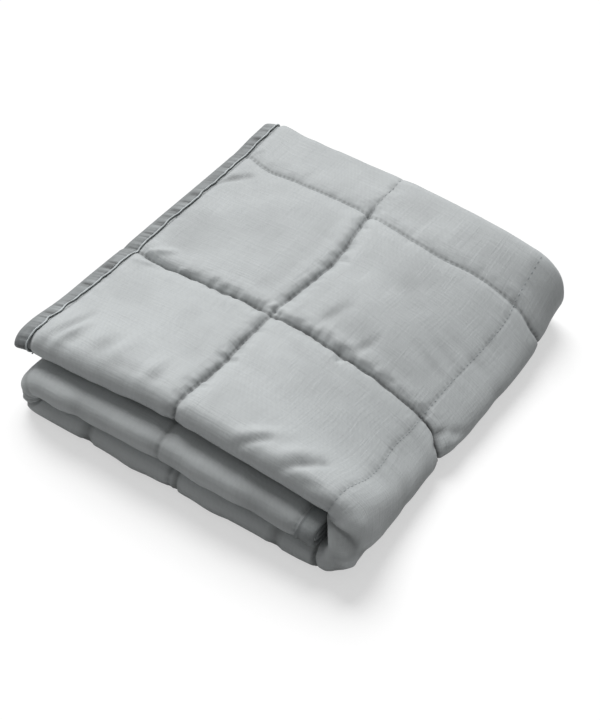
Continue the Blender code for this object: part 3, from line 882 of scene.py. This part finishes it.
def add_node(tree, kind, label, inputs=None, **values):
    """A node with the given properties, fed with the given inputs."""
    node = tree.nodes.new(kind)
    node.label = label
    for name, value in values.items():
        setattr(node, name, value)
    feed(tree, node, inputs or {})
    return node


def new_group(name, inputs, outputs):
    """An empty shader node group with value and vector sockets."""
    group = bpy.data.node_groups.new(name, "ShaderNodeTree")
    for socket, kind, default in inputs:
        item = group.interface.new_socket(name=socket, in_out="INPUT", socket_type=kind)
        if default is not None:
            item.default_value = default
    for socket, kind in outputs:
        group.interface.new_socket(name=socket, in_out="OUTPUT", socket_type=kind)
    return group, group.nodes.new("NodeGroupInput"), group.nodes.new("NodeGroupOutput")


def maths(tree, operation, *values, label=""):
    """A maths node fed with sockets or numbers; gives its output."""
    inputs = dict(enumerate(values))
    return add_node(tree, "ShaderNodeMath", label, inputs, operation=operation).outputs[0]


def noise(tree, label, place, **settings):
    """Noise at a place, with its scale, detail and roughness as given; gives its output."""
    inputs = {"Vector": place, **{name.title(): value for name, value in settings.items()}}
    return add_node(tree, "ShaderNodeTexNoise", label, inputs).outputs[0]


def woven_threads():
    """Plain weave: rounded threads that pass over and under each other in turn."""
    group, given, made = new_group(
        "Woven threads",
        (("Flat place", "NodeSocketVector", None), ("Thread pitch", "NodeSocketFloat", 0.0005)),
        (("Height", "NodeSocketFloat"),))
    split = add_node(group, "ShaderNodeSeparateXYZ", "Warp and weft", {0: given.outputs["Flat place"]})
    waves = []
    for axis in ("X", "Y"):
        turns = maths(group, "DIVIDE", split.outputs[axis], given.outputs["Thread pitch"])
        waves.append(maths(group, "SINE", maths(group, "MULTIPLY", turns, math.pi)))
    crossing = maths(group, "MULTIPLY", *waves, label="Over and under")
    round_threads = (maths(group, "ABSOLUTE", wave) for wave in waves)
    threads = maths(group, "ADD", *round_threads, label="Thread roundness")
    halves = (maths(group, "MULTIPLY", part, 0.5) for part in (crossing, threads))
    total = maths(group, "ADD", *halves)
    group.links.new(total, made.inputs["Height"])
    return group


def slubs():
    """Uneven threads: long thin thick places along the warp and the weft."""
    group, given, made = new_group(
        "Slubs",
        (("Flat place", "NodeSocketVector", None), ("Spacing", "NodeSocketFloat", 0.0016)),
        (("Height", "NodeSocketFloat"),))
    parts = []
    for stretch in ((1.0, 0.06, 1.0), (0.06, 1.0, 1.0)):
        placed = add_node(group, "ShaderNodeVectorMath", "Stretched along",
                          {0: given.outputs["Flat place"], 1: stretch}, operation="MULTIPLY")
        parts.append(noise(group, "Thick places", placed.outputs[0], detail=2.0, roughness=0.6,
                           scale=maths(group, "DIVIDE", 1.0, given.outputs["Spacing"])))
    group.links.new(maths(group, "ADD", *parts), made.inputs["Height"])
    return group


def soft_mottling():
    """Uneven tone of washed cotton, near 1, from broad patches and small flecks."""
    group, given, made = new_group(
        "Soft mottling",
        (("Place", "NodeSocketVector", None), ("Patch size", "NodeSocketFloat", 0.04),
         ("Amount", "NodeSocketFloat", 0.06)),
        (("Tone", "NodeSocketFloat"),))
    parts = []
    for smaller, detail in ((1.0, 3.0), (9.0, 2.0)):
        patches = noise(group, "Patches", given.outputs["Place"], detail=detail,
                        scale=maths(group, "DIVIDE", smaller, given.outputs["Patch size"]))
        parts.append(maths(group, "SUBTRACT", patches, 0.5))
    uneven = maths(group, "ADD", parts[0], maths(group, "MULTIPLY", parts[1], 0.5))
    swing = maths(group, "MULTIPLY", uneven, given.outputs["Amount"])
    group.links.new(maths(group, "ADD", swing, 1.0), made.inputs["Tone"])
    return group


def stitch_shade(tree, flat, pitch, strength):
    """Painted shade in the cloth where each stitch of a seam pulls it in: a dark dot for every stitch.
    """
    split = add_node(tree, "ShaderNodeSeparateXYZ", "Along and around", {0: flat})
    dots = []
    # Each dot mark says where the painted shade dots of a seam fall
    for axis, line in (("X", "row_dot_shade"), ("Y", "cross_dot_shade")):
        turns = maths(tree, "MULTIPLY", split.outputs[axis], 2 * math.pi / pitch)
        wave = maths(tree, "MULTIPLY_ADD", maths(tree, "SINE", turns), 0.5, 0.5)
        near = add_node(tree, "ShaderNodeAttribute", "Beside a seam", attribute_name=line)
        dots.append(maths(tree, "MULTIPLY", wave, near.outputs["Fac"], label="Stitch dots"))
    uneven = maths(tree, "MULTIPLY", noise(tree, "Uneven stitching", flat, scale=110.0), 2.0)
    total = maths(tree, "MULTIPLY", maths(tree, "MAXIMUM", *dots), uneven)
    return maths(tree, "SUBTRACT", 1.0, maths(tree, "MULTIPLY", total, strength))


def new_material(name):
    """A new material, its node tree and its surface shader."""
    material = bpy.data.materials.new(name)
    material.use_nodes = True
    return material, material.node_tree, material.node_tree.nodes["Principled BSDF"]


def tinted(tree, label, colour, tone):
    """A colour made lighter or darker by a tone near 1."""
    return add_node(tree, "ShaderNodeMix", label, {"Factor": 1.0, "A": (*colour, 1.0), "B": tone},
                    data_type="RGBA", blend_type="MULTIPLY").outputs[2]


def cloth_material(name, colour, groups, weave, mottle, hollow_shade_strength, sheen, dots=0.0):
    """Matt woven cotton from the shared groups, darkened by painted shade in its hollows and lightened
    by a painted highlight where the hollow mark is below zero; dots is how dark the painted shade dots
    at its seams' stitches are.
    """
    material, tree, cloth = new_material(name)
    flat = add_node(tree, "ShaderNodeUVMap", "Place on the flat cloth", uv_map="flat_cloth").outputs[0]
    place = add_node(tree, "ShaderNodeTexCoord", "Place on the blanket").outputs["Object"]
    patch_size, amount = mottle
    given = ({"Flat place": flat, "Thread pitch": weave}, {"Flat place": flat},
             {"Place": place, "Patch size": patch_size, "Amount": amount}, {"Place": place})
    woven, slub, mottled, rippled = (
        add_node(tree, "ShaderNodeGroup", group.name, inputs, node_tree=group).outputs[0]
        for group, inputs in zip(groups, given))
    # Painted shade in the grooves, creases and gaps, from the hollow mark; where the mark is below zero
    # it is a painted highlight
    hollow = add_node(tree, "ShaderNodeAttribute", "Sewn hollows", attribute_name="hollow")
    shade = maths(tree, "SUBTRACT", 1.0, maths(tree, "MULTIPLY", hollow.outputs["Fac"], hollow_shade_strength))
    if dots:
        shade = maths(tree, "MULTIPLY", shade, stitch_shade(tree, flat, DOT_PITCH, dots))
    tone = maths(tree, "MULTIPLY", shade, maths(tree, "MULTIPLY_ADD", slub, 0.12, 0.88))
    tone = maths(tree, "MULTIPLY", maths(tree, "MULTIPLY", tone, mottled), rippled)
    fine = add_node(tree, "ShaderNodeBump", "Weave",
                    {"Strength": 0.35, "Distance": 0.0002, "Height": woven})
    uneven = add_node(tree, "ShaderNodeBump", "Uneven threads",
                      {"Strength": 0.5, "Distance": 0.0005, "Height": slub, "Normal": fine.outputs[0]})
    feed(tree, cloth, {
        "Base Color": tinted(tree, "Tone of the cloth", colour, tone),
        "Roughness": maths(tree, "MULTIPLY_ADD", slub, -0.08, 0.70),
        "Normal": uneven.outputs[0],
        "Specular IOR Level": 0.60,
        "Sheen Weight": sheen,
        "Sheen Roughness": 0.6,
    })
    return material


def fine_ripples():
    """Faint wavy lines in the tone of the cloth, in patches, where its weave runs unevenly."""
    group, given, made = new_group(
        "Fine ripples",
        (("Place", "NodeSocketVector", None), ("Spacing", "NodeSocketFloat", 0.0034),
         ("Amount", "NodeSocketFloat", 0.035)),
        (("Tone", "NodeSocketFloat"),))
    place = given.outputs["Place"]
    bend = noise(group, "Slow bends", place, scale=9.0, detail=1.0)
    patch = noise(group, "Patches of lines", place, scale=14.0, detail=1.0)
    across = add_node(group, "ShaderNodeVectorMath", "Across the lines",
                      {0: place, 1: (0.81, 0.58, -0.2)}, operation="DOT_PRODUCT")
    run = maths(group, "ADD", across.outputs["Value"], maths(group, "MULTIPLY", bend, 0.055))
    turns = maths(group, "DIVIDE", run, given.outputs["Spacing"])
    wave = maths(group, "SINE", maths(group, "MULTIPLY", turns, 2 * math.pi))
    strong = maths(group, "MULTIPLY", patch, patch)
    swing = maths(group, "MULTIPLY", maths(group, "MULTIPLY", wave, strong), given.outputs["Amount"])
    group.links.new(maths(group, "ADD", swing, 1.0), made.inputs["Tone"])
    return group


def cloth_groups():
    """The shared shader groups, made once."""
    known = bpy.data.node_groups
    names = ("Woven threads", "Slubs", "Soft mottling", "Fine ripples")
    makers = (woven_threads, slubs, soft_mottling, fine_ripples)
    return [known[name] if name in known else make() for name, make in zip(names, makers)]


def thread_material(colour):
    """Matt sewing thread with a slightly uneven tone."""
    material, tree, thread = new_material("sewing_thread")
    place = add_node(tree, "ShaderNodeTexCoord", "Place on the blanket").outputs["Object"]
    mottle = add_node(tree, "ShaderNodeGroup", "Uneven tone",
                      {"Patch size": 0.01, "Amount": 0.2, "Place": place}, node_tree=cloth_groups()[2])
    feed(tree, thread, {"Base Color": tinted(tree, "Tone of the thread", colour, mottle.outputs[0]),
                        "Roughness": 0.7, "Specular IOR Level": 0.3})
    return material


# Shares of the floor's colour: what it throws back at the blanket, what it shows and its own glow
FLOOR_BOUNCE = 0.55
FLOOR_SEEN = 0.5
FLOOR_GLOW = 0.55


def floor_material(colour):
    """A plain pale floor that throws only a little light back up at the blanket."""
    material, tree, shader = new_material("pale_floor")
    seen = add_node(tree, "ShaderNodeLightPath", "Seen or lighting the blanket").outputs["Is Camera Ray"]
    tint = add_node(tree, "ShaderNodeMix", "Floor colour", {
        "Factor": seen,
        "A": (*(channel * FLOOR_BOUNCE for channel in colour), 1.0),
        "B": (*(channel * FLOOR_SEEN for channel in colour), 1.0),
    }, data_type="RGBA")
    feed(tree, shader, {
        "Base Color": tint.outputs[2],
        "Roughness": 0.95,
        "Specular IOR Level": 0.0,
        "Emission Color": (*colour, 1.0),
        "Emission Strength": maths(tree, "MULTIPLY", seen, FLOOR_GLOW),
    })
    return material


class QuiltSettings(PropertyGroup):
    colour: FloatVectorProperty(
        name="Cloth colour", description="Colour of the quilted cotton", subtype="COLOR",
        size=3, min=0, max=1, default=(0.475, 0.500, 0.505))
    pucker: FloatProperty(
        name="Pucker height", description="How high the cloth gathers beside its seams",
        default=0.0016, min=0, max=0.003, unit="LENGTH", precision=4)
    weave: FloatProperty(
        name="Weave pitch", description="Distance between threads of the cloth",
        default=0.0005, min=0.0002, max=0.003, unit="LENGTH", precision=4)


class TapeSettings(PropertyGroup):
    colour: FloatVectorProperty(
        name="Tape colour", description="Colour of the folded edge tape", subtype="COLOR",
        size=3, min=0, max=1, default=(0.225, 0.241, 0.245))
    pucker: FloatProperty(
        name="Pucker height", description="How high the tape gathers along its stitches",
        default=0.00040, min=0, max=0.0006, unit="LENGTH", precision=5)


class ThreadSettings(PropertyGroup):
    # Partly the thread's own grey and partly painted shade: the colour is darker to stand for the shade
    # of the stitches sunk in the seam grooves
    colour: FloatVectorProperty(
        name="Thread colour", description="Colour of the sewing thread", subtype="COLOR",
        size=3, min=0, max=1, default=(0.33, 0.36, 0.37))
    pitch: FloatProperty(
        name="Stitch pitch", description="Distance from one stitch to the next",
        default=0.0040, min=0.002, max=0.010, unit="LENGTH", precision=4)
    radius: FloatProperty(
        name="Thread radius", description="Half the thickness of the sewing thread",
        default=0.00028, min=0.0001, max=0.0006, unit="LENGTH", precision=5)


class StageSettings(PropertyGroup):
    floor_colour: FloatVectorProperty(
        name="Floor colour", description="Colour of the plain floor", subtype="COLOR",
        size=3, min=0, max=1, default=(0.98, 0.98, 0.98))
    key_strength: FloatProperty(
        name="Key light", description="Strength of the soft light from the back left",
        default=3.2, min=0, max=50)
    fill: FloatProperty(
        name="Fill light", description="Brightness of the light from all sides",
        default=0.24, min=0, max=5)


class BLANKET_OT_quilt(Operator):
    """Makes the quilted cloth, folded in quarters and then in three"""
    bl_idname = "blanket.quilt"
    bl_label = "Quilted Cloth"

    def execute(self, context):
        settings = context.scene.blanket_quilt
        piece = make_quilt(settings.pucker)
        groups = cloth_groups()
        piece.data.materials.append(cloth_material(
            "quilted_cotton", settings.colour, groups, weave=settings.weave, mottle=(0.045, 0.08),
            hollow_shade_strength=0.42, sheen=0.10, dots=0.55))
        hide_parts("quilt")
        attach(piece, "root")
        return {"FINISHED"}


class BLANKET_OT_tapes(Operator):
    """Makes the four strips of tape that are folded over the cloth's edges"""
    bl_idname = "blanket.tapes"
    bl_label = "Edge Tapes"

    def execute(self, context):
        settings = context.scene.blanket_tape
        material = cloth_material(
            "edge_tape", settings.colour, cloth_groups(), weave=0.0006, mottle=(0.009, 0.55),
            hollow_shade_strength=0.60, sheen=0.1)
        for node, piece in make_tapes(settings.pucker).items():
            piece.data.materials.append(material)
            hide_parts(node)
            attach(piece, "root")
        return {"FINISHED"}


STITCH_SHARE = 0.72            # how much of the pitch a stitch takes up
FLOOR_CLEARANCE = 0.0015       # no stitches are made lower than this


class BLANKET_OT_threads(Operator):
    bl_idname = "blanket.threads"
    bl_label = "Sewing Thread"

    def execute(self, context):
        settings = context.scene.blanket_thread
        pucker = context.scene.blanket_quilt.pucker
        material = thread_material(settings.colour)
        pitch, radius = settings.pitch, settings.radius
        for name, lines in (("seam_thread", seam_stitches(pucker, pitch, pitch * STITCH_SHARE, radius)),
                            ("tape_thread", tape_stitches(radius))):
            starts, ends, lift = (np.concatenate(part) for part in zip(*lines))
            off_floor = np.minimum(starts[:, 2], ends[:, 2]) > FLOOR_CLEARANCE
            piece = make_stitches(name, starts[off_floor], ends[off_floor], lift[off_floor], radius)
            piece.data.materials.append(material)
            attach(piece, "root")
        return {"FINISHED"}


CAMERA_AZIMUTH = math.radians(36.57)
CAMERA_ELEVATION = math.radians(46.79)
CAMERA_ROLL = math.radians(-1.55)
CAMERA_TARGET = Vector((0.001472, 0.000393, 0.0))
CAMERA_DISTANCE = 1.511935
CAMERA_LENS = 100.0
KEY_FROM = Vector((-0.56, 0.62, 0.95))
KEY_SOFTNESS = math.radians(38)


def camera_turn():
    """Which way the camera faces, as a rotation."""
    ahead = Vector((-math.sin(CAMERA_AZIMUTH) * math.cos(CAMERA_ELEVATION),
                    math.cos(CAMERA_AZIMUTH) * math.cos(CAMERA_ELEVATION),
                    -math.sin(CAMERA_ELEVATION)))
    level = Vector((math.cos(CAMERA_AZIMUTH), math.sin(CAMERA_AZIMUTH), 0.0))
    above = level.cross(ahead)
    right = level * math.cos(CAMERA_ROLL) + above * math.sin(CAMERA_ROLL)
    up = above * math.cos(CAMERA_ROLL) - level * math.sin(CAMERA_ROLL)
    return Matrix((right, up, -ahead)).transposed(), ahead


class BLANKET_OT_stage(Operator):
    """Makes the plain floor, the soft lights and the camera"""
    bl_idname = "blanket.stage"
    bl_label = "Stage"

    def execute(self, context):
        settings = context.scene.blanket_stage
        bpy.ops.object.select_all(action="DESELECT")
        bpy.ops.mesh.primitive_plane_add(size=12.0, location=(0, 0, 0))
        floor = context.object
        floor.name = "plain_floor"
        floor.data.materials.append(floor_material(settings.floor_colour))
        bpy.ops.object.light_add(type="SUN", location=KEY_FROM)
        key = context.object
        key.name = "key_light"
        key.data.energy = settings.key_strength
        key.data.angle = KEY_SOFTNESS
        key.rotation_euler = (-KEY_FROM).to_track_quat("-Z", "Y").to_euler()
        turn, ahead = camera_turn()
        bpy.ops.object.camera_add(location=CAMERA_TARGET - ahead * CAMERA_DISTANCE)
        camera = context.object
        camera.name = "photo_camera"
        camera.rotation_euler = turn.to_euler()
        camera.data.lens = CAMERA_LENS
        camera.data.sensor_width = 36.0
        camera.data.sensor_fit = "AUTO"
        scene = context.scene
        scene.camera = camera
        scene.view_settings.view_transform = "Standard"
        world = bpy.data.worlds.new("even_light")
        world.use_nodes = True
        world.node_tree.nodes["Background"].inputs["Color"].default_value = (1, 1, 1, 1)
        world.node_tree.nodes["Background"].inputs["Strength"].default_value = settings.fill
        scene.world = world
        return {"FINISHED"}


class BLANKET_PT_panel(Panel):
    bl_label = "Folded Quilted Blanket"
    bl_idname = "BLANKET_PT_panel"
    bl_space_type = "VIEW_3D"
    bl_region_type = "UI"
    bl_category = "Blanket"

    def draw(self, context):
        layout = self.layout
        for settings_name, operator, names in PARTS:
            settings = getattr(context.scene, settings_name)
            column = layout.column(align=True)
            for name in names:
                column.prop(settings, name)
            column.operator(operator)


PARTS = (
    ("blanket_quilt", "blanket.quilt", ("colour", "pucker", "weave")),
    ("blanket_tape", "blanket.tapes", ("colour", "pucker")),
    ("blanket_thread", "blanket.threads", ("colour", "pitch", "radius")),
    ("blanket_stage", "blanket.stage", ("floor_colour", "key_strength", "fill")),
)
CLASSES = (
    QuiltSettings, TapeSettings, ThreadSettings, StageSettings,
    BLANKET_OT_quilt, BLANKET_OT_tapes, BLANKET_OT_threads, BLANKET_OT_stage, BLANKET_PT_panel,
)


def register():
    for item in CLASSES:
        bpy.utils.register_class(item)
    for (settings_name, _, _), settings in zip(PARTS, CLASSES):
        setattr(bpy.types.Scene, settings_name, PointerProperty(type=settings))


def unregister():
    for settings_name, _, _ in PARTS:
        delattr(bpy.types.Scene, settings_name)
    for item in reversed(CLASSES):
        bpy.utils.unregister_class(item)


def main():
    """Builds everything."""
    register()
    bpy.ops.blanket.quilt()
    bpy.ops.blanket.tapes()
    bpy.ops.blanket.threads()
    bpy.ops.blanket.stage()


if __name__ == "__main__":
    main()
